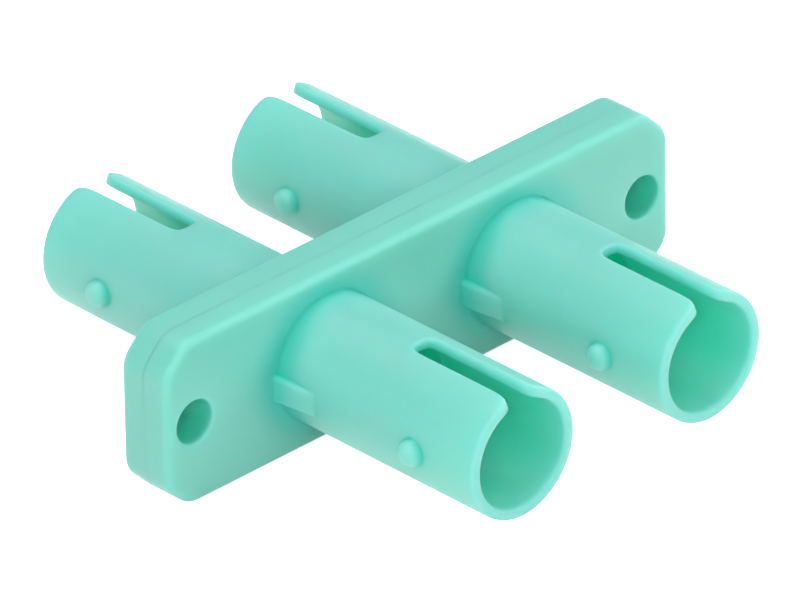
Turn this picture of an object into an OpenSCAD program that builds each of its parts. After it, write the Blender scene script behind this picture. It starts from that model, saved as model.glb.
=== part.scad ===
// Duplex bayonet fibre adapter: two equal moulded halves joined face to face,
// with a split alignment sleeve held between them in each of the two ports.
// The origin is the middle of the flange, on the joint face, half way between the ports.
// X runs along the flange, Y runs along the barrels and Z is up. Sizes are millimetres.

/* [Flange] */
// length of the flange along X
flange_length = 34.8; // [34:0.2:42]
// height of the flange along Z
flange_height = 9.2; // [8.6:0.2:12]
// thickness of the whole flange, both halves together
flange_thickness = 3.2; // [2.8:0.2:4]
// length of each corner cut, measured along the edges
corner_cut = 1.5; // [1.2:0.1:2]
// radius that blends each corner cut into the edges
corner_blend = 1.3; // [0.7:0.1:1.6]
// radius of the rounded edge of each outer face
edge_round = 0.35; // [0.2:0.05:0.5]

/* [Screw holes] */
// distance between the two screw holes
hole_spacing = 31; // [30.8:0.1:31.5]
// diameter of the two screw holes
hole_diameter = 2.4; // [2:0.1:2.5]

/* [Barrels] */
// distance between the two ports
port_pitch = 13; // [12.4:0.1:13.2]
// outside diameter of each barrel
barrel_diameter = 6.95; // [6.8:0.05:7.1]
// thickness of the barrel wall
barrel_wall = 0.57; // [0.5:0.01:0.6]
// distance from the joint face to the mouth of a barrel
barrel_reach = 15.3; // [14:0.1:17]
// radius of the rounded rim of each barrel
rim_round = 0.24; // [0.1:0.02:0.24]
// how much narrower the bore is beside the sleeve holder, as a radius
bore_step = 0.12; // [0.1:0.01:0.2]

/* [Key slots] */
// width of the key slot on top of each barrel
slot_width = 1.3; // [1.2:0.1:1.8]
// distance from the joint face to the closed end of the slot
slot_start = 8.2; // [7.6:0.1:9]
// radius of the two slot corners at the mouth
slot_round = 0.5; // [0.3:0.05:0.6]
// radius of the two corners at the closed end of the slot
slot_end_round = 0.3; // [0.1:0.05:0.55]

/* [Bayonet lugs] */
// diameter of each bayonet lug
lug_diameter = 1.4; // [1.3:0.1:1.8]
// distance from the joint face to the middle of a lug
lug_reach = 11.1; // [10:0.1:12]
// how far a lug stands out of the barrel
lug_height = 0.6; // [0.3:0.05:0.7]
// radius of the rounded outer edge of a lug
lug_round = 0.4; // [0.1:0.05:0.45]
// how far the middle of a lug lies under the barrel axis
lug_drop = 0.15; // [0:0.05:0.3]

/* [Ribs] */
// height of each wedge rib along Z
rib_height = 1.5; // [1:0.1:2]
// how far a rib stands out of the barrel at the flange
rib_width = 0.45; // [0.3:0.05:0.7]
// distance over which a rib runs out along the barrel
rib_length = 2.7; // [2:0.1:3.5]
// how far the middle of a rib lies under the barrel axis
rib_drop = 0.3; // [0:0.1:0.5]

/* [Alignment sleeves] */
// outside diameter of the ceramic sleeve
sleeve_diameter = 3.2; // [3.1:0.05:3.3]
// inside diameter of the ceramic sleeve, the size of a ferrule
sleeve_bore = 2.5; // [2.4:0.05:2.6]
// length of the ceramic sleeve
sleeve_length = 11.4; // [10.8:0.1:11.6]
// width of the slit along the sleeve
sleeve_slit = 0.5; // [0.3:0.1:0.8]
// size of the bevel at the ends of the sleeve
sleeve_bevel = 0.08; // [0.05:0.01:0.1]
// play round the sleeve in its seat
sleeve_play = 0.06; // [0.04:0.01:0.1]
// play at each end of the sleeve
sleeve_end_play = 0.1; // [0.05:0.05:0.2]

/* [Sleeve holder] */
// wall thickness of the tube that holds the sleeve
holder_wall = 0.55; // [0.45:0.05:0.6]
// thickness of the lip that keeps the sleeve in
lip_thickness = 0.7; // [0.5:0.1:0.9]
// diameter of the hole in the lip
lip_hole = 2.86; // [2.82:0.02:2.9]
// width of the cone that leads a ferrule into the lip
lead_in = 0.3; // [0.2:0.05:0.35]
// thickness of the web that ties the holder to the barrel
web_thickness = 2.2; // [2.1:0.1:3]

/* [Locating pegs] */
// diameter of the pegs on the joint face
peg_diameter = 1.2; // [1:0.1:1.4]
// height of the pegs
peg_height = 0.7; // [0.5:0.1:0.8]
// distance of the pegs and sockets from the middle, along X
peg_place = 12.1; // [12:0.1:12.2]
// distance between the two pegs of a half, along Z
peg_spacing = 4.6; // [4:0.1:5]
// play round and under each peg in its socket
peg_play = 0.08; // [0.05:0.01:0.12]

/* [Hidden] */
$fn = 96;
overlap = 0.2;
past = 1;
slice = 0.01;
edge_steps = 4;
step_margin = 0.4;
half_thickness = flange_thickness / 2;
barrel_radius = barrel_diameter / 2;
bore_radius = barrel_radius - barrel_wall;
sleeve_radius = sleeve_diameter / 2;
seat_radius = sleeve_radius + sleeve_play;
seat_depth = sleeve_length / 2 + sleeve_end_play;
holder_radius = seat_radius + holder_wall;
holder_reach = seat_depth + lip_thickness;
lip_radius = lip_hole / 2;
step_reach = holder_reach + step_margin;
lug_radius = lug_diameter / 2;
lug_root = bore_radius + barrel_wall / 2;
peg_bevel = peg_diameter / 8;
SIDES = [-1, 1];

// Corners of the flange outline, set in by a margin. Each corner cut gives two.
function outline_corners(margin) =
    let (x = flange_length / 2 - margin,
         y = flange_height / 2 - margin,
         cut = corner_cut - margin * (2 - sqrt(2)))
    [[x, y - cut], [x - cut, y], [-x + cut, y], [-x, y - cut],
     [-x, -y + cut], [-x + cut, -y], [x - cut, -y], [x, -y + cut]];

function along(start, end, distance) =
    start + (end - start) * distance / norm(end - start);

// Straight-sided outline whose corners stop where their blend arcs begin.
module trimmed_outline(margin) {
    corners = outline_corners(margin);
    last = len(corners);
    trim = (corner_blend - margin) * tan(22.5);
    polygon([for (i = [0:last - 1])
             for (neighbour = [i + last - 1, i + 1])
             along(corners[i], corners[neighbour % last], trim)]);
}

// Middles of the blend arcs, the same for every margin.
function blend_centres() = outline_corners(corner_blend);

// The flange outline with its true arcs.
module flange_outline(margin) {
    trimmed_outline(margin);
    for (centre = blend_centres()) translate(centre) circle(r = corner_blend - margin);
}

// One half of the flange: thin slices of the outline, set in along a quarter
// circle, carry the rounded edge of the outer face.
module flange_plate() {
    hull() {
        linear_extrude(height = half_thickness - edge_round) flange_outline(0, $fn = 32);
        for (step = [1:edge_steps]) {
            angle = 90 * step / edge_steps;
            rise = edge_round * sin(angle) - slice;
            translate([0, 0, half_thickness - edge_round + rise])
                linear_extrude(height = slice)
                    flange_outline(edge_round * (1 - cos(angle)), $fn = 32);
        }
    }
}

// Half section of a barrel wall, stepped beside the holder, with its rounded rim.
module barrel_section() {
    straight = barrel_reach - rim_round;
    translate([bore_radius - bore_step, 0]) square([barrel_wall / 2 + bore_step, step_reach]);
    translate([bore_radius, 0]) square([barrel_wall, straight]);
    translate([bore_radius + rim_round, 0]) square([barrel_wall - 2 * rim_round, barrel_reach]);
    for (x = [bore_radius, barrel_radius - 2 * rim_round])
        translate([x + rim_round, straight]) circle(r = rim_round);
}

// Barrel, the web across its foot and the holder of the sleeve, still solid inside.
module barrel() {
    rotate_extrude() barrel_section();
    cylinder(r = bore_radius, h = web_thickness);
    cylinder(r = holder_radius, h = holder_reach);
}

// Round lug whose outer edge is rounded, on the side of a barrel.
module bayonet_lug(side) {
    top = barrel_radius + lug_height - lug_root;
    translate([side * lug_root, -lug_drop, lug_reach])
        rotate([0, side * 90, 0])
            rotate_extrude() {
                square([lug_radius, top - lug_round]);
                square([lug_radius - lug_round, top]);
                translate([lug_radius - lug_round, top - lug_round])
                    intersection() {
                        circle(r = lug_round);
                        square(lug_round);
                    }
            }
}

// Wedge that runs out from the flange along the side of a barrel.
module wedge_rib(side) {
    foot = half_thickness - overlap;
    root = barrel_radius - barrel_wall / 2;
    end = half_thickness + rib_length;
    translate([0, -rib_drop + rib_height / 2, 0])
        rotate([90, 0, 0])
            linear_extrude(height = rib_height)
                polygon([[side * root, foot],
                         [side * (barrel_radius + rib_width), foot],
                         [side * (barrel_radius + rib_width), half_thickness],
                         [side * barrel_radius, end],
                         [side * root, end]]);
}

// Space for the sleeve, the hole in the lip and the cone that leads in.
module holder_hollow() {
    translate([0, 0, -past]) cylinder(r = seat_radius, h = seat_depth + past);
    cylinder(r = lip_radius, h = holder_reach + past);
    translate([0, 0, holder_reach - lead_in])
        cylinder(r1 = lip_radius, r2 = lip_radius + lead_in + overlap, h = lead_in + overlap);
}

// Plan of the key slot, from its closed end to beyond the mouth, where it flares
// out to the rounded corners.
module slot_outline() {
    reach = barrel_reach + past - slot_start;
    inner = slot_width - 2 * slot_end_round;
    flare = slot_width + 2 * slot_round;
    translate([-inner / 2, -barrel_reach - past]) square([inner, reach]);
    translate([-slot_width / 2, -barrel_reach - past]) square([slot_width, reach - slot_end_round]);
    for (side = SIDES)
        translate([side * inner / 2, -slot_start - slot_end_round]) circle(r = slot_end_round);
    difference() {
        translate([-flare / 2, -barrel_reach - past]) square([flare, past + slot_round]);
        for (side = SIDES)
            translate([side * flare / 2, -barrel_reach + slot_round]) circle(r = slot_round);
    }
}

// Slot for the key of a plug, cut through the upper wall of a barrel.
module key_slot() {
    rotate([-90, 0, 0]) linear_extrude(height = barrel_diameter) slot_outline();
}

// Pegs of the joint face, or their sockets when there is play.
module locating_pegs(play) {
    for (side = SIDES)
        translate([0, side * peg_spacing / 2, 0]) {
            top = peg_height - peg_bevel + play;
            cylinder(d = peg_diameter + 2 * play, h = top);
            translate([0, 0, top])
                cylinder(d1 = peg_diameter + 2 * play, d2 = peg_diameter + 2 * play - 2 * peg_bevel,
                         h = peg_bevel);
        }
}

// One moulded half, with its joint face at z = 0 and its barrels along +Z.
module housing_half() {
    difference() {
        union() {
            flange_plate();
            for (port = SIDES)
                translate([port * port_pitch / 2, 0, 0]) {
                    barrel();
                    for (side = SIDES) {
                        bayonet_lug(side);
                        wedge_rib(side);
                    }
                }
        }
        for (port = SIDES)
            translate([port * port_pitch / 2, 0, 0]) {
                holder_hollow();
                key_slot();
            }
        for (end = SIDES)
            translate([end * hole_spacing / 2, 0, -past])
                cylinder(d = hole_diameter, h = flange_thickness + past);
        translate([-peg_place, 0, 0]) locating_pegs(peg_play);
    }
    translate([peg_place, 0, 0]) mirror([0, 0, 1]) locating_pegs(0);
}

module front_housing() {
    color([0.44, 0.82, 0.76]) rotate([90, 0, 0]) housing_half();
}

module rear_housing() {
    color([0.44, 0.82, 0.76]) rotate([0, 0, 180]) rotate([90, 0, 0]) housing_half();
}

// Split ceramic sleeve, centred on the joint face, with its slit upwards.
module alignment_sleeve() {
    inner = sleeve_bore / 2;
    half = sleeve_length / 2;
    rotate([90, 0, 0])
        difference() {
            rotate_extrude()
                polygon([[inner, -half + sleeve_bevel], [inner + sleeve_bevel, -half],
                         [sleeve_radius - sleeve_bevel, -half], [sleeve_radius, -half + sleeve_bevel],
                         [sleeve_radius, half - sleeve_bevel], [sleeve_radius - sleeve_bevel, half],
                         [inner + sleeve_bevel, half], [inner, half - sleeve_bevel]]);
            translate([-sleeve_slit / 2, 0, -half - past])
                cube([sleeve_slit, sleeve_diameter, sleeve_length + 2 * past]);
        }
}

module left_sleeve() {
    color([0.95, 0.95, 0.92]) translate([-port_pitch / 2, 0, 0]) alignment_sleeve();
}

module right_sleeve() {
    color([0.95, 0.95, 0.92]) translate([port_pitch / 2, 0, 0]) alignment_sleeve();
}

front_housing();
rear_housing();
left_sleeve();
right_sleeve();
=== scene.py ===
"""Looks of a duplex bayonet fibre adapter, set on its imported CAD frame."""

import math

import bmesh
import bpy
from bpy.props import FloatProperty, FloatVectorProperty, IntProperty, PointerProperty
from mathutils import Matrix, Vector


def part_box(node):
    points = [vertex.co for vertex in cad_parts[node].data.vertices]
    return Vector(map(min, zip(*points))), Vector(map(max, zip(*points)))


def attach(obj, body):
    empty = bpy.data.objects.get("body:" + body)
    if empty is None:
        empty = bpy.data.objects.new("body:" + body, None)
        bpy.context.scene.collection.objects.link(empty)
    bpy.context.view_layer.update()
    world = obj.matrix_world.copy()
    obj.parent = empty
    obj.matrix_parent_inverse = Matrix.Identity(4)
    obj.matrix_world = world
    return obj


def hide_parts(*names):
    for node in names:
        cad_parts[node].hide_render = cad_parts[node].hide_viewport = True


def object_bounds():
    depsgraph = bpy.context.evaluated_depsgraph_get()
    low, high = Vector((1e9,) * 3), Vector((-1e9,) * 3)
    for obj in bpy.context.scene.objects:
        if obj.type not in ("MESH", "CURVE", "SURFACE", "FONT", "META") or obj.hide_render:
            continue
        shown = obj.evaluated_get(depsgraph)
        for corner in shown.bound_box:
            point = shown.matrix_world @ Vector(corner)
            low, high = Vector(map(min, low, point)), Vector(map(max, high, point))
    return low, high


bl_info = {
    "name": "Bayonet Fibre Adapter",
    "version": (1, 0, 0),
    "blender": (4, 5, 0),
    "location": "3D View > Sidebar > Adapter",
    "description": "Finishes the mouldings and ceramic sleeves of a duplex fibre adapter",
    "category": "Object",
}

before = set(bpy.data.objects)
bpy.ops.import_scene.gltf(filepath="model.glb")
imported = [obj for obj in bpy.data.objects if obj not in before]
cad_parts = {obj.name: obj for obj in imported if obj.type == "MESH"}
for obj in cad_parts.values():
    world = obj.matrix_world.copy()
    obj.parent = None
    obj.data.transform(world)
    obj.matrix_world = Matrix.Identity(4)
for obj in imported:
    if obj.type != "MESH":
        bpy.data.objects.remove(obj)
CAD_LOW, CAD_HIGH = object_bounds()

MM = 0.001
SLEEVES = ("left_sleeve", "right_sleeve")


def millimetres(value):
    return value * MM


def length(name, description, default):
    return FloatProperty(name=name, description=description, unit="LENGTH", min=0.0, default=default)


def box_middle(node):
    low, high = (Vector(corner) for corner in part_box(node))
    return (low + high) / 2


class ADAPTER_PG_moulding(bpy.types.PropertyGroup):
    """Sizes of one moulded half, in metres."""

    flange_length: length("Flange length", "Length of the flange", CAD_HIGH[0] - CAD_LOW[0])
    flange_height: length("Flange height", "Height of the flange", CAD_HIGH[2] - CAD_LOW[2])
    flange_thickness: length("Flange thickness", "Both halves together", millimetres(3.2))
    corner_cut: length("Corner cut", "Length of each corner cut", millimetres(1.5))
    corner_blend: length("Corner blend", "Radius that blends the cuts", millimetres(1.3))
    edge_round: length("Edge round", "Radius of the flange's outer edge", millimetres(0.35))
    hole_spacing: length("Hole spacing", "Between the screw holes", millimetres(31.0))
    hole_diameter: length("Hole diameter", "Of the screw holes", millimetres(2.4))
    hole_edge: length("Hole edge", "Radius of small soft edges", millimetres(0.07))
    port_pitch: length("Port pitch", "Between the two ports", box_middle("right_sleeve").x * 2)
    barrel_diameter: length("Barrel diameter", "Outside of a barrel", millimetres(6.95))
    barrel_wall: length("Barrel wall", "Thickness of the barrel wall", millimetres(0.57))
    barrel_reach: length("Barrel reach", "From the joint face to the mouth", CAD_HIGH[1])
    edge_crease: FloatProperty(
        name="Edge crease", description="Sharpness of the rim and slot edges", subtype="FACTOR",
        min=0.0, max=1.0, default=0.35)
    rim_support: length("Rim support", "Distance that sets how round the rim is", millimetres(0.3))
    slot_width: length("Slot width", "Width of the key slot", millimetres(1.28))
    slot_start: length("Slot start", "From the joint face to the slot", millimetres(8.2))
    lug_diameter: length("Lug diameter", "Of a bayonet lug", millimetres(1.4))
    lug_reach: length("Lug reach", "From the joint face to a lug", millimetres(11.1))
    lug_height: length("Lug height", "How far a lug stands out", millimetres(0.6))
    lug_drop: length("Lug drop", "Lug's middle under the barrel axis", millimetres(0.15))
    lug_round: length("Lug round", "Radius of a lug's outer edge", millimetres(0.52))
    rib_height: length("Rib height", "Height of a wedge rib", millimetres(1.5))
    rib_width: length("Rib width", "How far a rib stands out", millimetres(0.45))
    rib_length: length("Rib length", "How far a rib runs along a barrel", millimetres(2.7))
    rib_end: length("Rib end", "How far the far end of a rib stands out", millimetres(0.04))
    rib_drop: length("Rib drop", "Rib's middle under the barrel axis", millimetres(0.3))
    rib_edge: length("Rib edge", "Radius of a rib's edges", millimetres(0.2))
    sleeve_seat: length("Sleeve seat", "Diameter of the seat of a sleeve", millimetres(3.32))
    seat_depth: length("Seat depth", "From the joint face to the lip", millimetres(5.8))
    lip_hole: length("Lip hole", "Diameter of the hole in the lip", millimetres(2.86))
    lip_thickness: length("Lip thickness", "Of the lip over a sleeve", millimetres(0.7))
    lead_in: length("Lead-in", "Width of the cone in the lip", millimetres(0.3))
    holder_wall: length("Holder wall", "Round the sleeve", millimetres(0.55))
    web_thickness: length("Web thickness", "Across the foot of a bore", millimetres(2.2))
    peg_diameter: length("Peg diameter", "Of the locating pegs", millimetres(1.2))
    peg_height: length("Peg height", "Of the locating pegs", millimetres(0.7))
    peg_place: length("Peg place", "From the middle to the pegs", millimetres(12.1))
    peg_spacing: length("Peg spacing", "Between the two pegs", millimetres(4.6))
    peg_play: length("Peg play", "Round a peg in its socket", millimetres(0.08))
    bore_step: length("Bore step", "Narrowing beside the holder", millimetres(0.12))


class ADAPTER_PG_plastic(bpy.types.PropertyGroup):
    """Finish of the moulded plastic."""

    colour: FloatVectorProperty(
        name="Colour", description="Base colour of the aqua plastic", subtype="COLOR",
        size=3, min=0.0, max=1.0, default=(0.215, 0.65, 0.558))
    # Painted shade: a darker colour put in the corners where walls meet.
    crease_shade_colour: FloatVectorProperty(
        name="Crease colour", description="Colour in the corners where walls meet",
        subtype="COLOR", size=3, min=0.0, max=1.0, default=(0.10, 0.61, 0.515))
    # Painted shade and bounce light: a deeper green put inside the narrow holes and slots.
    hollow_bounce_colour: FloatVectorProperty(
        name="Deep colour", description="Colour inside the narrow holes and slots",
        subtype="COLOR", size=3, min=0.0, max=1.0, default=(0.05, 0.76, 0.62))
    # Painted bounce light and shade on the walls of the bores and screw holes.
    bore_bounce_tint: FloatVectorProperty(
        name="Bore tint", description="Factor on the colour of a bore's wall",
        subtype="COLOR", size=3, min=0.0, max=2.0, default=(0.70, 1.05, 0.96))
    hole_bounce_tint: FloatVectorProperty(
        name="Hole tint", description="Factor on the colour of a screw hole's wall",
        subtype="COLOR", size=3, min=0.0, max=2.0, default=(0.72, 1.12, 1.02))
    # Reach of the painted shade in corners and hollows.
    shade_reach: FloatProperty(
        name="Hollow reach", description="How near another wall deepens the colour", unit="LENGTH",
        min=0.0, default=millimetres(2.0))
    roughness: FloatProperty(
        name="Roughness", description="Middle roughness of the satin surface", subtype="FACTOR",
        min=0.0, max=1.0, default=0.42)
    scatter: FloatProperty(
        name="Scatter", description="How far green light travels inside the plastic", unit="LENGTH",
        min=0.0, default=millimetres(2.1))
    fillet: FloatProperty(
        name="Fillet", description="Softness where walls meet", unit="LENGTH",
        min=0.0, default=millimetres(0.35))
    texture_height: FloatProperty(
        name="Texture height", description="Depth of the fine mould texture", unit="LENGTH",
        min=0.0, default=millimetres(0.002))


class ADAPTER_PG_ceramic(bpy.types.PropertyGroup):
    """Finish of the split ceramic sleeves."""

    colour: FloatVectorProperty(
        name="Colour", description="Base colour of the white ceramic", subtype="COLOR",
        size=3, min=0.0, max=1.0, default=(0.86, 0.85, 0.80))
    roughness: FloatProperty(
        name="Roughness", description="Roughness of the ground ceramic", subtype="FACTOR",
        min=0.0, max=1.0, default=0.22)


class ADAPTER_PG_stage(bpy.types.PropertyGroup):
    """Camera and light of the photograph's view."""

    camera_azimuth: FloatProperty(
        name="Camera azimuth", description="Heading of the view, clockwise from +Y",
        subtype="ANGLE", default=math.radians(43.87))
    camera_elevation: FloatProperty(
        name="Camera elevation", description="Angle of the view under the horizon",
        subtype="ANGLE", default=math.radians(29.98))
    camera_roll: FloatProperty(
        name="Camera roll", description="Turn of the picture, clockwise",
        subtype="ANGLE", default=math.radians(-0.93))
    camera_distance: FloatProperty(
        name="Camera distance", description="Distance from the camera to the object's middle",
        unit="LENGTH", default=0.6494)
    lens: FloatProperty(
        name="Lens", description="Focal length in millimetres on a 36 mm sensor",
        min=1.0, default=589.2)
    sky: FloatProperty(
        name="Surrounding light", description="Strength of the even white surround",
        min=0.0, default=0.04)


def deselect():
    if bpy.context.mode != "OBJECT":
        bpy.ops.object.mode_set(mode="OBJECT")
    bpy.ops.object.select_all(action="DESELECT")


def pick_only(piece):
    deselect()
    piece.select_set(True)
    bpy.context.view_layer.objects.active = piece


def name_new(name):
    """Names the piece that was just added and fixes its place in its mesh."""
    piece = bpy.context.object
    piece.name = name
    piece.data.name = name
    bpy.ops.object.transform_apply(location=True, rotation=True, scale=True)
    return piece


def add_modifier(piece, kind, **values):
    modifier = piece.modifiers.new(kind.lower(), kind)
    for name, value in values.items():
        setattr(modifier, name, value)
    pick_only(piece)
    bpy.ops.object.modifier_apply(modifier=modifier.name)


def bevel_edges(piece, test, width, steps, profile=0.5):
    """Bevels the edges whose two ends pass a test, with bpy.ops in edit mode."""
    pick_only(piece)
    bpy.ops.object.mode_set(mode="EDIT")
    bpy.ops.mesh.select_mode(type="EDGE")
    bpy.ops.mesh.select_all(action="DESELECT")
    shape = bmesh.from_edit_mesh(piece.data)
    for edge in shape.edges:
        edge.select = test(edge.verts[0].co, edge.verts[1].co)
    shape.select_flush_mode()
    bmesh.update_edit_mesh(piece.data)
    bpy.ops.mesh.bevel(offset=width, segments=steps, profile=profile, affect="EDGES")
    bpy.ops.object.mode_set(mode="OBJECT")


def tidy_normals(piece):
    pick_only(piece)
    bpy.ops.object.mode_set(mode="EDIT")
    bpy.ops.mesh.select_all(action="SELECT")
    bpy.ops.mesh.remove_doubles(threshold=millimetres(0.001))
    bpy.ops.mesh.normals_make_consistent(inside=False)
    bpy.ops.object.mode_set(mode="OBJECT")


def join_pieces(name, pieces):
    deselect()
    for piece in pieces:
        piece.select_set(True)
    bpy.context.view_layer.objects.active = pieces[0]
    bpy.ops.object.join()
    whole = bpy.context.object
    whole.name = name
    whole.data.name = name
    return whole


def fuse(body, tools):
    """Unites pieces that run into each other, so that one closed skin is left."""
    for tool in tools:
        add_modifier(body, "BOOLEAN", operation="UNION", solver="MANIFOLD", object=tool)
        bpy.data.objects.remove(tool)
    tidy_normals(body)


def same(a, b):
    return abs(a - b) < CLOSE


CLOSE = millimetres(0.01)


def add_rod(name, radius, low, high, sides, axis="Y", at=(0, 0, 0)):
    """Straight cylinder between two heights along one axis."""
    turn = {"X": (0, math.pi / 2, 0), "Y": (-math.pi / 2, 0, 0)}[axis]
    middle = Vector(at)
    middle["XYZ".index(axis)] += (low + high) / 2
    bpy.ops.mesh.primitive_cylinder_add(
        vertices=sides, radius=radius, depth=high - low, location=middle, rotation=turn)
    return name_new(name)


def build_flange(sizes):
    """Half of the flange, from the joint face at y = 0 to its outer face at +y."""
    thick = sizes.flange_thickness / 2
    deselect()
    bpy.ops.mesh.primitive_cube_add(size=1, location=(0, thick / 2, 0))
    bpy.context.object.scale = (sizes.flange_length, thick, sizes.flange_height)
    plate = name_new("flange_plate")

    def runs_through(a, b):
        return same(a.x, b.x) and same(a.z, b.z)

    def on_outer_rim(a, b):
        return same(a.y, thick) and same(b.y, thick)

    blend = sizes.corner_blend * math.tan(math.radians(22.5))
    bevel_edges(plate, runs_through, sizes.corner_cut, 1)
    bevel_edges(plate, runs_through, blend, 5)
    bevel_edges(plate, on_outer_rim, sizes.edge_round, 6)

    cutters = []
    for side in (-1, 1):
        x = side * sizes.hole_spacing / 2
        cutters.append(add_rod("screw_cutter", sizes.hole_diameter / 2, -thick, 3 * thick, 64, at=(x, 0, 0)))
        x = side * sizes.port_pitch / 2
        radius = sizes.sleeve_seat / 2 + SEAT_STEP
        cutters.append(add_rod("port_cutter", radius, -thick, 3 * thick, 72, at=(x, 0, 0)))
    cutter = join_pieces("hole_cutters", cutters)
    add_modifier(plate, "BOOLEAN", operation="DIFFERENCE", solver="EXACT", object=cutter)
    bpy.data.objects.remove(cutter)

    def on_screw_rim(a, b):
        middle = Vector((math.copysign(sizes.hole_spacing / 2, a.x), thick, 0))
        radius = sizes.hole_diameter / 2
        return same((a - middle).length, radius) and same((b - middle).length, radius)

    bevel_edges(plate, on_screw_rim, sizes.hole_edge, 3)
    return plate


# The seat of a sleeve is a little narrower than the hole in the flange, and starts
# just inside the joint face, so that no two faces lie on each other.
SEAT_STEP = millimetres(0.03)
HOLDER_FOOT = millimetres(0.15)
BARREL_COLUMNS = 30
SMOOTH_LEVEL = 2


def barrel_angles(start):
    """Angles of the columns round a barrel, from one side of the slot to the other."""
    step = (2 * math.pi - 2 * start - 2 * SLOT_SUPPORT) / (BARREL_COLUMNS - 3)
    middle = [start + SLOT_SUPPORT + step * i for i in range(BARREL_COLUMNS - 2)]
    return [start] + middle + [2 * math.pi - start]


SLOT_SUPPORT = math.radians(8.0)


def build_barrel(sizes, x):
    """Slotted tube with a round rim, from inside the flange to its mouth."""
    middle_radius = (sizes.barrel_diameter - sizes.barrel_wall) / 2
    start = math.asin(sizes.slot_width / 2 / middle_radius)
    angles = barrel_angles(start)
    foot = sizes.flange_thickness * 0.35
    mouth = sizes.barrel_reach
    slot = sizes.slot_start
    rows = [foot, foot + millimetres(1.2)]
    plain = 4
    rows += [rows[1] + (slot - sizes.rim_support - rows[1]) * i / plain for i in range(1, plain + 1)]
    slot_row = len(rows)
    rows += [slot, slot + sizes.rim_support]
    open_rows = 5
    last = mouth - 2 * sizes.rim_support
    rows += [rows[-1] + (last - rows[-1]) * i / open_rows for i in range(1, open_rows + 1)]
    rows += [mouth]

    deselect()
    bpy.ops.mesh.primitive_grid_add(x_subdivisions=len(angles) - 1, y_subdivisions=len(rows) - 1, size=1)
    tube = name_new("barrel")
    across = len(angles)
    for index, vertex in enumerate(tube.data.vertices):
        angle = angles[index % across]
        row = index // across
        y = rows[row]
        before = angles[index % across - 1] if index % across else -start
        after = angles[(index + 1) % across] if index % across < across - 1 else 2 * math.pi + start
        spread = (math.cos(angle - before) + math.cos(after - angle)) / 6
        radius = middle_radius / (4 / 6 + spread)
        at_side = index % across in (0, across - 1)
        at_corner = row == len(rows) - 1 and at_side
        if row == slot_row and at_side:
            angle = math.copysign(start * SLOT_END_SHARE, math.pi - angle)
        if at_corner:
            angle += math.copysign(CORNER_PULL, math.pi - angle)
            y -= CORNER_PULL * middle_radius
        vertex.co = (x + radius * math.sin(angle), y, radius * math.cos(angle))

    pick_only(tube)
    bpy.ops.object.mode_set(mode="EDIT")
    shape = bmesh.from_edit_mesh(tube.data)
    shape.verts.ensure_lookup_table()
    for row in range(slot_row):
        ends = [shape.verts[(row + step) * across + side] for side in (0, across - 1) for step in (0, 1)]
        shape.faces.new((ends[0], ends[1], ends[3], ends[2]))
    bmesh.update_edit_mesh(tube.data)
    bpy.ops.mesh.select_all(action="SELECT")
    bpy.ops.mesh.normals_make_consistent(inside=False)
    bpy.ops.object.mode_set(mode="OBJECT")
    add_modifier(tube, "SOLIDIFY", thickness=sizes.barrel_wall, offset=0.0, use_even_offset=True,
                 use_rim=True, edge_crease_inner=sizes.edge_crease, edge_crease_outer=sizes.edge_crease)
    add_modifier(tube, "SUBSURF", levels=SMOOTH_LEVEL, render_levels=SMOOTH_LEVEL)
    tidy_normals(tube)
    return tube


CORNER_PULL = math.radians(4.0)
# Width of the slot's round end, as a share of the slot's width.
SLOT_END_SHARE = 0.72


def build_spun(name, profile, x, steps=72):
    """Ring spun round a port's axis from a closed profile of radius and distance."""
    mesh = bpy.data.meshes.new(name)
    points = [(x + radius, y, 0) for radius, y in profile]
    edges = [(i, (i + 1) % len(points)) for i in range(len(points))]
    mesh.from_pydata(points, edges, [])
    piece = bpy.data.objects.new(name, mesh)
    bpy.context.scene.collection.objects.link(piece)
    pick_only(piece)
    bpy.ops.object.mode_set(mode="EDIT")
    bpy.ops.mesh.select_all(action="SELECT")
    bpy.ops.mesh.spin(steps=steps, angle=2 * math.pi, center=(x, 0, 0), axis=(0, 1, 0))
    bpy.ops.object.mode_set(mode="OBJECT")
    tidy_normals(piece)
    return piece


def build_holder(sizes, x):
    """Sleeve holder, web and stepped foot of a bore, in one ring."""
    seat = sizes.sleeve_seat / 2
    deep = sizes.seat_depth
    lip = sizes.lip_hole / 2
    tall = deep + sizes.lip_thickness
    wall = seat + sizes.holder_wall
    cone = sizes.lead_in
    soft = sizes.hole_edge
    bore = sizes.barrel_diameter / 2 - sizes.barrel_wall
    step = bore - sizes.bore_step
    step_top = tall + millimetres(0.4)
    hidden = bore + sizes.barrel_wall * 0.75
    web = sizes.web_thickness
    profile = [
        (seat, HOLDER_FOOT), (seat, deep), (lip, deep), (lip, tall - cone), (lip + cone, tall),
        (wall - soft, tall), (wall - soft * 0.3, tall - soft * 0.3), (wall, tall - soft),
        (wall, web + soft), (wall + soft, web), (step - soft, web), (step, web + soft),
        (step, step_top - soft), (step + soft * 0.5, step_top), (hidden, step_top), (hidden, HOLDER_FOOT)]
    return build_spun("sleeve_holder", profile, x)


def build_lug(sizes, x, side):
    """Bayonet lug with a domed end on the side of a barrel."""
    root = sizes.barrel_diameter / 2 - sizes.barrel_wall / 2
    tip = sizes.barrel_diameter / 2 + sizes.lug_height
    low, high = sorted((side * root, side * tip))
    lug = add_rod("bayonet_lug", sizes.lug_diameter / 2, low, high, 40, axis="X", at=(x, sizes.lug_reach, -sizes.lug_drop))

    def on_tip(a, b):
        return same(a.x, x + side * tip) and same(b.x, x + side * tip)

    bevel_edges(lug, on_tip, sizes.lug_round, 6)
    return lug


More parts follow.
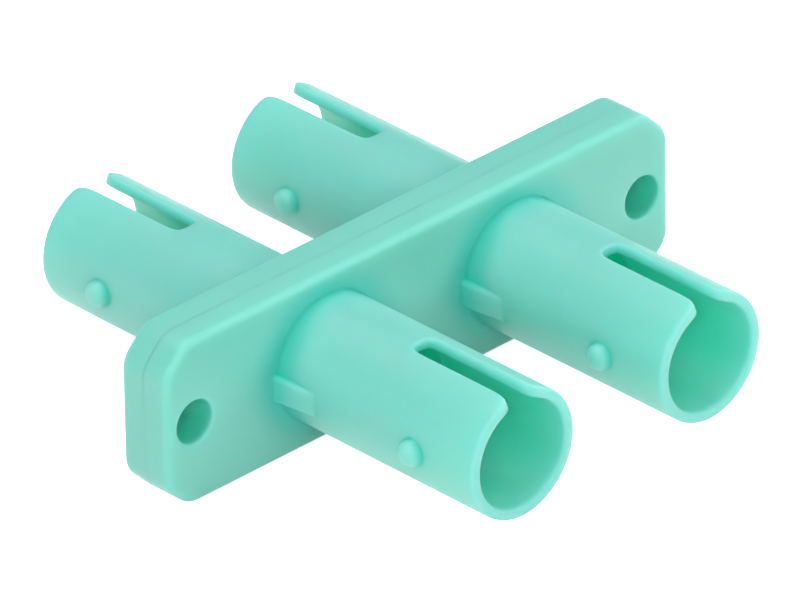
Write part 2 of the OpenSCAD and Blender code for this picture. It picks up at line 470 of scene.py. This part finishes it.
def build_rib(sizes, x, side):
    """Wedge rib that runs out from the flange along the side of a barrel."""
    root = sizes.barrel_diameter / 2 - sizes.barrel_wall / 2
    tip = sizes.barrel_diameter / 2 + sizes.rib_width
    foot = sizes.flange_thickness * 0.3
    face = sizes.flange_thickness / 2
    end = face + sizes.rib_length
    deselect()
    bpy.ops.mesh.primitive_cube_add(size=1, location=(x + side * (root + tip) / 2, (foot + end) / 2, -sizes.rib_drop))
    bpy.context.object.scale = (tip - root, end - foot, sizes.rib_height)
    rib = name_new("wedge_rib")
    for vertex in rib.data.vertices:
        if same(vertex.co.x, x + side * tip) and same(vertex.co.y, end):
            vertex.co.x = x + side * (sizes.barrel_diameter / 2 + sizes.rib_end)

    def on_slope(a, b):
        outside = all(abs(v.x - x) > sizes.barrel_diameter / 2 for v in (a, b))
        return outside and not (same(a.y, b.y) and same(a.y, foot))

    bevel_edges(rib, on_slope, sizes.rib_edge, 4)
    return rib


def build_peg(sizes, x, z, play, root, tip):
    """Locating peg with a bevelled tip, or the cutter of its socket."""
    radius = sizes.peg_diameter / 2 + play
    peg = add_rod("locating_peg", radius, min(root, tip), max(root, tip), 32, at=(x, 0, z))

    def on_tip(a, b):
        return same(a.y, tip) and same(b.y, tip)

    bevel_edges(peg, on_tip, sizes.peg_diameter / 8, 1)
    return peg


def build_half(sizes):
    """One moulded half, with its barrels along +Y."""
    half = build_flange(sizes)
    pieces = []
    foot = sizes.flange_thickness * 0.35
    for level in (-sizes.peg_spacing / 2, sizes.peg_spacing / 2):
        socket = build_peg(sizes, sizes.peg_place, level, sizes.peg_play, -foot, sizes.peg_height + sizes.peg_play)
        add_modifier(half, "BOOLEAN", operation="DIFFERENCE", solver="EXACT", object=socket)
        bpy.data.objects.remove(socket)
        pieces.append(build_peg(sizes, -sizes.peg_place, level, 0.0, foot / 2, -sizes.peg_height))
    for port in (-1, 1):
        x = port * sizes.port_pitch / 2
        pieces.append(build_barrel(sizes, x))
        pieces.append(build_holder(sizes, x))
        for side in (-1, 1):
            pieces.append(build_lug(sizes, x, side))
            pieces.append(build_rib(sizes, x, side))
    fuse(half, pieces)
    half.name = "rear_moulding"
    half.data.name = half.name
    pick_only(half)
    bpy.ops.object.shade_smooth_by_angle(angle=math.radians(32.0))
    return half


def turn_half(half, name):
    """Own copy of a moulded half, turned to face the other way."""
    other = half.copy()
    other.data = half.data.copy()
    other.name = name
    other.data.name = name
    bpy.context.scene.collection.objects.link(other)
    other.data.transform(Matrix.Rotation(math.pi, 4, "Z"))
    return other


def node_tree(material):
    material.use_nodes = True
    tree = material.node_tree
    tree.nodes.clear()
    return tree


def add_node(tree, kind, **values):
    node = tree.nodes.new(kind)
    for name, value in values.items():
        if name in node.inputs:
            node.inputs[name].default_value = value
        else:
            setattr(node, name, value)
    return node


def link(tree, start, end):
    tree.links.new(start, end)


def depth_in_hole(tree, axes, from_joint, from_middle, radius, mouth, run):
    """How deep a point lies in a round hole along Y: 0 at its mouth and outside, 1 past the run."""
    sideways = add_node(tree, "ShaderNodeMath", operation="ABSOLUTE")
    link(tree, axes.outputs["X"], sideways.inputs[0])
    beside = add_node(tree, "ShaderNodeMath", operation="SUBTRACT")
    link(tree, sideways.outputs["Value"], beside.inputs[0])
    beside.inputs[1].default_value = from_middle
    across = add_node(tree, "ShaderNodeCombineXYZ")
    link(tree, beside.outputs["Value"], across.inputs["X"])
    link(tree, axes.outputs["Z"], across.inputs["Y"])
    from_axis = add_node(tree, "ShaderNodeVectorMath", operation="LENGTH")
    link(tree, across.outputs["Vector"], from_axis.inputs[0])
    inside = add_node(tree, "ShaderNodeMapRange")
    inside.inputs["From Min"].default_value = radius + 0.25
    inside.inputs["From Max"].default_value = radius
    link(tree, from_axis.outputs["Value"], inside.inputs["Value"])
    deep = add_node(tree, "ShaderNodeMapRange", interpolation_type="SMOOTHSTEP")
    deep.inputs["From Min"].default_value = mouth
    deep.inputs["From Max"].default_value = mouth - run
    link(tree, from_joint, deep.inputs["Value"])
    share = add_node(tree, "ShaderNodeMath", operation="MULTIPLY")
    link(tree, inside.outputs["Result"], share.inputs[0])
    link(tree, deep.outputs["Result"], share.inputs[1])
    return share.outputs["Value"]


def make_plastic(settings, sizes):
    """Satin aqua thermoplastic with a fine mould texture and softened edges."""
    material = bpy.data.materials.new("aqua_moulded_plastic")
    tree = node_tree(material)
    output = add_node(tree, "ShaderNodeOutputMaterial")
    shader = add_node(tree, "ShaderNodeBsdfPrincipled")
    shader.inputs["IOR"].default_value = 1.47
    shader.inputs["Subsurface Weight"].default_value = 1.0
    shader.inputs["Subsurface Radius"].default_value = (0.55, 1.0, 0.85)
    link(tree, shader.outputs["BSDF"], output.inputs["Surface"])

    place = add_node(tree, "ShaderNodeTexCoord")
    in_mm = add_node(tree, "ShaderNodeMapping")
    in_mm.inputs["Scale"].default_value = (1 / MM, 1 / MM, 1 / MM)
    link(tree, place.outputs["Object"], in_mm.inputs["Vector"])

    # The light travels less near the joint of the halves, where it would stop at the other half.
    axes = add_node(tree, "ShaderNodeSeparateXYZ")
    link(tree, in_mm.outputs["Vector"], axes.inputs["Vector"])
    from_joint = add_node(tree, "ShaderNodeMath", operation="ABSOLUTE")
    link(tree, axes.outputs["Y"], from_joint.inputs[0])
    travel = add_node(tree, "ShaderNodeMapRange")
    travel.inputs["From Min"].default_value = 0.5
    travel.inputs["From Max"].default_value = 2.5
    travel.inputs["To Min"].default_value = settings.scatter * 0.08
    travel.inputs["To Max"].default_value = settings.scatter
    link(tree, from_joint.outputs["Value"], travel.inputs["Value"])
    link(tree, travel.outputs["Result"], shader.inputs["Subsurface Scale"])

    cloud = add_node(tree, "ShaderNodeTexNoise", Scale=0.22, Detail=2.0)
    link(tree, in_mm.outputs["Vector"], cloud.inputs["Vector"])
    shade = add_node(tree, "ShaderNodeMix", data_type="RGBA")
    shade.inputs["A"].default_value = (0.97, 0.97, 0.97, 1.0)
    shade.inputs["B"].default_value = (1.03, 1.03, 1.03, 1.0)
    link(tree, cloud.outputs["Fac"], shade.inputs["Factor"])

    # Painted shade and bounce light: where other walls are near, the base colour is darkened and turned a deeper
    # green, standing in for light that goes to and fro between close walls.
    openness = add_node(tree, "ShaderNodeAmbientOcclusion", samples=8, only_local=True)
    openness.inputs["Distance"].default_value = settings.shade_reach
    tint = add_node(tree, "ShaderNodeValToRGB")
    stops = tint.color_ramp.elements
    stops.new(0.7)
    for stop, share, colour in zip(stops, (0.4, 0.7, 0.95),
                                   (settings.hollow_bounce_colour, settings.crease_shade_colour, settings.colour)):
        stop.position = share
        stop.color = (*colour, 1.0)
    link(tree, openness.outputs["AO"], tint.inputs["Fac"])
    painted_shade = add_node(tree, "ShaderNodeMix", data_type="RGBA", blend_type="MULTIPLY", clamp_result=False)
    painted_shade.inputs["Factor"].default_value = 1.0
    link(tree, tint.outputs["Color"], painted_shade.inputs["A"])
    link(tree, shade.outputs["Result"], painted_shade.inputs["B"])

    # Painted bounce light and shade: the walls of the bores and screw holes are tinted less red and greener further
    # in from their mouths.
    bore = (sizes.barrel_diameter / 2 - sizes.barrel_wall) / MM
    ports = (sizes.port_pitch / 2 / MM, bore, sizes.barrel_reach / MM, 2.5)
    holes = (sizes.hole_spacing / 2 / MM, sizes.hole_diameter / 2 / MM, sizes.flange_thickness / 2 / MM, 0.9)
    result = painted_shade.outputs["Result"]
    for place_in_row, factor in ((ports, settings.bore_bounce_tint), (holes, settings.hole_bounce_tint)):
        lined = add_node(tree, "ShaderNodeMix", data_type="RGBA", blend_type="MULTIPLY", clamp_result=False)
        lined.inputs["B"].default_value = (*factor, 1.0)
        link(tree, depth_in_hole(tree, axes, from_joint.outputs["Value"], *place_in_row), lined.inputs["Factor"])
        link(tree, result, lined.inputs["A"])
        result = lined.outputs["Result"]
    link(tree, result, shader.inputs["Base Color"])

    smear = add_node(tree, "ShaderNodeTexNoise", Scale=1.1, Detail=3.0)
    link(tree, in_mm.outputs["Vector"], smear.inputs["Vector"])
    rough = add_node(tree, "ShaderNodeMapRange")
    rough.inputs["To Min"].default_value = settings.roughness - 0.05
    rough.inputs["To Max"].default_value = settings.roughness + 0.05
    link(tree, smear.outputs["Fac"], rough.inputs["Value"])
    link(tree, rough.outputs["Result"], shader.inputs["Roughness"])

    grain = add_node(tree, "ShaderNodeTexNoise", Scale=9.0, Detail=3.0)
    link(tree, in_mm.outputs["Vector"], grain.inputs["Vector"])
    bump = add_node(tree, "ShaderNodeBump")
    bump.inputs["Strength"].default_value = 0.5
    bump.inputs["Distance"].default_value = settings.texture_height
    link(tree, grain.outputs["Fac"], bump.inputs["Height"])

    # Soft normals round the places where walls meet, but not along the joint of the halves.
    soft = add_node(tree, "ShaderNodeBevel", samples=6)
    soft.inputs["Radius"].default_value = settings.fillet
    plain = add_node(tree, "ShaderNodeNewGeometry")
    away = add_node(tree, "ShaderNodeMapRange", interpolation_type="SMOOTHSTEP")
    away.inputs["From Min"].default_value = settings.fillet / MM
    away.inputs["From Max"].default_value = settings.fillet / MM * 2.5
    link(tree, from_joint.outputs["Value"], away.inputs["Value"])
    normal = add_node(tree, "ShaderNodeMix", data_type="VECTOR")
    link(tree, away.outputs["Result"], normal.inputs["Factor"])
    link(tree, plain.outputs["Normal"], normal.inputs["A"])
    link(tree, soft.outputs["Normal"], normal.inputs["B"])
    link(tree, normal.outputs["Result"], bump.inputs["Normal"])
    link(tree, bump.outputs["Normal"], shader.inputs["Normal"])
    return material


def make_ceramic(settings):
    """White zirconia with faint grinding marks round the sleeve."""
    material = bpy.data.materials.new("ground_white_ceramic")
    tree = node_tree(material)
    output = add_node(tree, "ShaderNodeOutputMaterial")
    shader = add_node(tree, "ShaderNodeBsdfPrincipled")
    shader.inputs["IOR"].default_value = 2.0
    shader.inputs["Subsurface Weight"].default_value = 0.1
    shader.inputs["Subsurface Scale"].default_value = millimetres(0.3)
    link(tree, shader.outputs["BSDF"], output.inputs["Surface"])

    place = add_node(tree, "ShaderNodeTexCoord")
    in_mm = add_node(tree, "ShaderNodeMapping")
    in_mm.inputs["Scale"].default_value = (1 / MM, 1 / MM, 1 / MM)
    link(tree, place.outputs["Object"], in_mm.inputs["Vector"])

    cloud = add_node(tree, "ShaderNodeTexNoise", Scale=0.8, Detail=2.0)
    link(tree, in_mm.outputs["Vector"], cloud.inputs["Vector"])
    shade = add_node(tree, "ShaderNodeMix", data_type="RGBA")
    base = Vector(settings.colour)
    shade.inputs["A"].default_value = (*(base * 0.96), 1.0)
    shade.inputs["B"].default_value = (*(base * 1.02), 1.0)
    link(tree, cloud.outputs["Fac"], shade.inputs["Factor"])
    link(tree, shade.outputs["Result"], shader.inputs["Base Color"])

    marks = add_node(tree, "ShaderNodeTexWave", Scale=4.0, Distortion=1.5, Detail=2.0)
    marks.bands_direction = "Y"
    link(tree, in_mm.outputs["Vector"], marks.inputs["Vector"])
    rough = add_node(tree, "ShaderNodeMapRange")
    rough.inputs["To Min"].default_value = settings.roughness - 0.04
    rough.inputs["To Max"].default_value = settings.roughness + 0.08
    link(tree, marks.outputs["Fac"], rough.inputs["Value"])
    link(tree, rough.outputs["Result"], shader.inputs["Roughness"])
    bump = add_node(tree, "ShaderNodeBump")
    bump.inputs["Strength"].default_value = 0.3
    bump.inputs["Distance"].default_value = millimetres(0.001)
    link(tree, marks.outputs["Fac"], bump.inputs["Height"])
    link(tree, bump.outputs["Normal"], shader.inputs["Normal"])
    return material


def dress(node, material):
    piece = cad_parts[node]
    piece.data.materials.clear()
    piece.data.materials.append(material)


class ADAPTER_OT_housings(bpy.types.Operator):
    """Finish the two moulded housings."""

    bl_idname = "adapter.housings"
    bl_label = "Finish Housings"

    def execute(self, context):
        rear = build_half(context.scene.adapter_moulding)
        front = turn_half(rear, "front_moulding")
        material = make_plastic(context.scene.adapter_plastic, context.scene.adapter_moulding)
        for piece, node in ((front, "front_housing"), (rear, "rear_housing")):
            piece.data.materials.clear()
            piece.data.materials.append(material)
            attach(piece, "root")
            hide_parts(node)
        return {"FINISHED"}


class ADAPTER_OT_sleeves(bpy.types.Operator):
    """Finish the two split ceramic sleeves."""

    bl_idname = "adapter.sleeves"
    bl_label = "Finish Sleeves"

    def execute(self, context):
        material = make_ceramic(context.scene.adapter_ceramic)
        for node in SLEEVES:
            dress(node, material)
        return {"FINISHED"}


def add_area(name, place, size, power):
    """Round softbox that faces the object."""
    light = bpy.data.lights.new(name, "AREA")
    light.shape = "DISK"
    light.size = size
    light.energy = power
    lamp = bpy.data.objects.new(name, light)
    bpy.context.scene.collection.objects.link(lamp)
    turn = (-Vector(place)).to_track_quat("-Z", "Y").to_matrix().to_4x4()
    lamp.matrix_world = Matrix.Translation(place) @ turn
    return lamp


def add_camera(stage):
    azimuth, elevation, roll = stage.camera_azimuth, stage.camera_elevation, stage.camera_roll
    heading = Vector((math.sin(azimuth), math.cos(azimuth), 0))
    level = Vector((math.cos(azimuth), -math.sin(azimuth), 0))
    forward = heading * math.cos(elevation) - Vector((0, 0, math.sin(elevation)))
    upward = heading * math.sin(elevation) + Vector((0, 0, math.cos(elevation)))
    right = level * math.cos(roll) + upward * math.sin(roll)
    top = upward * math.cos(roll) - level * math.sin(roll)
    place = -forward * stage.camera_distance
    data = bpy.data.cameras.new("photo_camera")
    data.lens = stage.lens
    data.sensor_width = 36.0
    data.clip_start = 0.01
    data.clip_end = 50.0
    data.shift_x = PRINCIPAL_SHIFT[0]
    data.shift_y = PRINCIPAL_SHIFT[1]
    camera = bpy.data.objects.new("photo_camera", data)
    bpy.context.scene.collection.objects.link(camera)
    turn = Matrix((right, top, -forward)).transposed().to_4x4()
    camera.matrix_world = Matrix.Translation(place) @ turn
    bpy.context.scene.camera = camera
    return camera


# Offset of the object's middle from the middle of the picture, as parts of its width.
PRINCIPAL_SHIFT = (0.8 / 800, -3.1 / 800)


def make_floor_material():
    """White sweep that keeps the object's soft shadow."""
    material = bpy.data.materials.new("white_sweep")
    tree = node_tree(material)
    output = add_node(tree, "ShaderNodeOutputMaterial")
    diffuse = add_node(tree, "ShaderNodeBsdfDiffuse")
    diffuse.inputs["Color"].default_value = (0.86, 0.86, 0.86, 1.0)
    glow = add_node(tree, "ShaderNodeEmission")
    glow.inputs["Strength"].default_value = FLOOR_GLOW
    rays = add_node(tree, "ShaderNodeLightPath")
    seen = add_node(tree, "ShaderNodeMath", operation="MAXIMUM")
    link(tree, rays.outputs["Is Camera Ray"], seen.inputs[0])
    link(tree, rays.outputs["Is Glossy Ray"], seen.inputs[1])
    dark = add_node(tree, "ShaderNodeEmission")
    dark.inputs["Strength"].default_value = 0.0
    pick = add_node(tree, "ShaderNodeMixShader")
    link(tree, seen.outputs["Value"], pick.inputs["Fac"])
    link(tree, dark.outputs["Emission"], pick.inputs[1])
    link(tree, glow.outputs["Emission"], pick.inputs[2])
    total = add_node(tree, "ShaderNodeAddShader")
    link(tree, diffuse.outputs["BSDF"], total.inputs[0])
    link(tree, pick.outputs["Shader"], total.inputs[1])
    link(tree, total.outputs["Shader"], output.inputs["Surface"])
    return material


FLOOR_GLOW = 0.8


class ADAPTER_OT_stage(bpy.types.Operator):
    """Set the white floor, the soft light and the camera."""

    bl_idname = "adapter.stage"
    bl_label = "Set Stage"

    def execute(self, context):
        stage = context.scene.adapter_stage
        bpy.ops.object.select_all(action="DESELECT")
        bpy.ops.mesh.primitive_plane_add(size=6.0, location=(0, 0, CAD_LOW[2]))
        floor = context.object
        floor.name = "floor"
        bpy.ops.object.transform_apply(location=True, rotation=True, scale=True)
        floor.data.materials.append(make_floor_material())

        world = bpy.data.worlds.new("even_surround")
        world.use_nodes = True
        tree = world.node_tree
        surround = tree.nodes["Background"]
        surround.inputs["Color"].default_value = (1.0, 1.0, 1.0, 1.0)
        surround.inputs["Strength"].default_value = stage.sky
        context.scene.world = world

        for name, place, size, power in SOFTBOXES:
            add_area(name, place, size, power)

        add_camera(stage)
        context.scene.view_settings.view_transform = "Standard"
        return {"FINISHED"}


# Each softbox's name, place in metres, diameter in metres and power in watts.
SOFTBOXES = (
    ("overhead_softbox", (-0.05, 0.1, 0.5), 0.45, 1.75),
    ("camera_softbox", (-0.33, -0.36, 0.30), 0.3, 0.95),
    ("front_softbox", (0.05, -0.5, 0.15), 0.3, 0.5),
    ("left_softbox", (-0.45, -0.02, 0.24), 0.5, 0.86),
    ("right_front_softbox", (0.4, -0.35, 0.25), 0.3, 0.95),
    ("right_softbox", (0.5, 0.1, 0.2), 0.3, 1.0),
)


class ADAPTER_PT_panel(bpy.types.Panel):
    """Sidebar panel that lists the steps of the adapter."""

    bl_label = "Fibre Adapter"
    bl_space_type = "VIEW_3D"
    bl_region_type = "UI"
    bl_category = "Adapter"

    def draw(self, context):
        layout = self.layout
        scene = context.scene
        for operator in OPERATORS:
            layout.operator(operator.bl_idname)
        for group in (scene.adapter_moulding, scene.adapter_plastic, scene.adapter_ceramic, scene.adapter_stage):
            box = layout.box()
            for name in group.bl_rna.properties.keys():
                if name not in ("rna_type", "name"):
                    box.prop(group, name)


GROUPS = (ADAPTER_PG_moulding, ADAPTER_PG_plastic, ADAPTER_PG_ceramic, ADAPTER_PG_stage)
OPERATORS = (ADAPTER_OT_housings, ADAPTER_OT_sleeves, ADAPTER_OT_stage)
CLASSES = GROUPS + OPERATORS + (ADAPTER_PT_panel,)


def register():
    for item in CLASSES:
        bpy.utils.register_class(item)
    bpy.types.Scene.adapter_moulding = PointerProperty(type=ADAPTER_PG_moulding)
    bpy.types.Scene.adapter_plastic = PointerProperty(type=ADAPTER_PG_plastic)
    bpy.types.Scene.adapter_ceramic = PointerProperty(type=ADAPTER_PG_ceramic)
    bpy.types.Scene.adapter_stage = PointerProperty(type=ADAPTER_PG_stage)


def unregister():
    del bpy.types.Scene.adapter_stage
    del bpy.types.Scene.adapter_ceramic
    del bpy.types.Scene.adapter_plastic
    del bpy.types.Scene.adapter_moulding
    for item in reversed(CLASSES):
        bpy.utils.unregister_class(item)


def main():
    register()
    bpy.ops.adapter.housings()
    bpy.ops.adapter.sleeves()
    bpy.ops.adapter.stage()


if __name__ == "__main__":
    main()
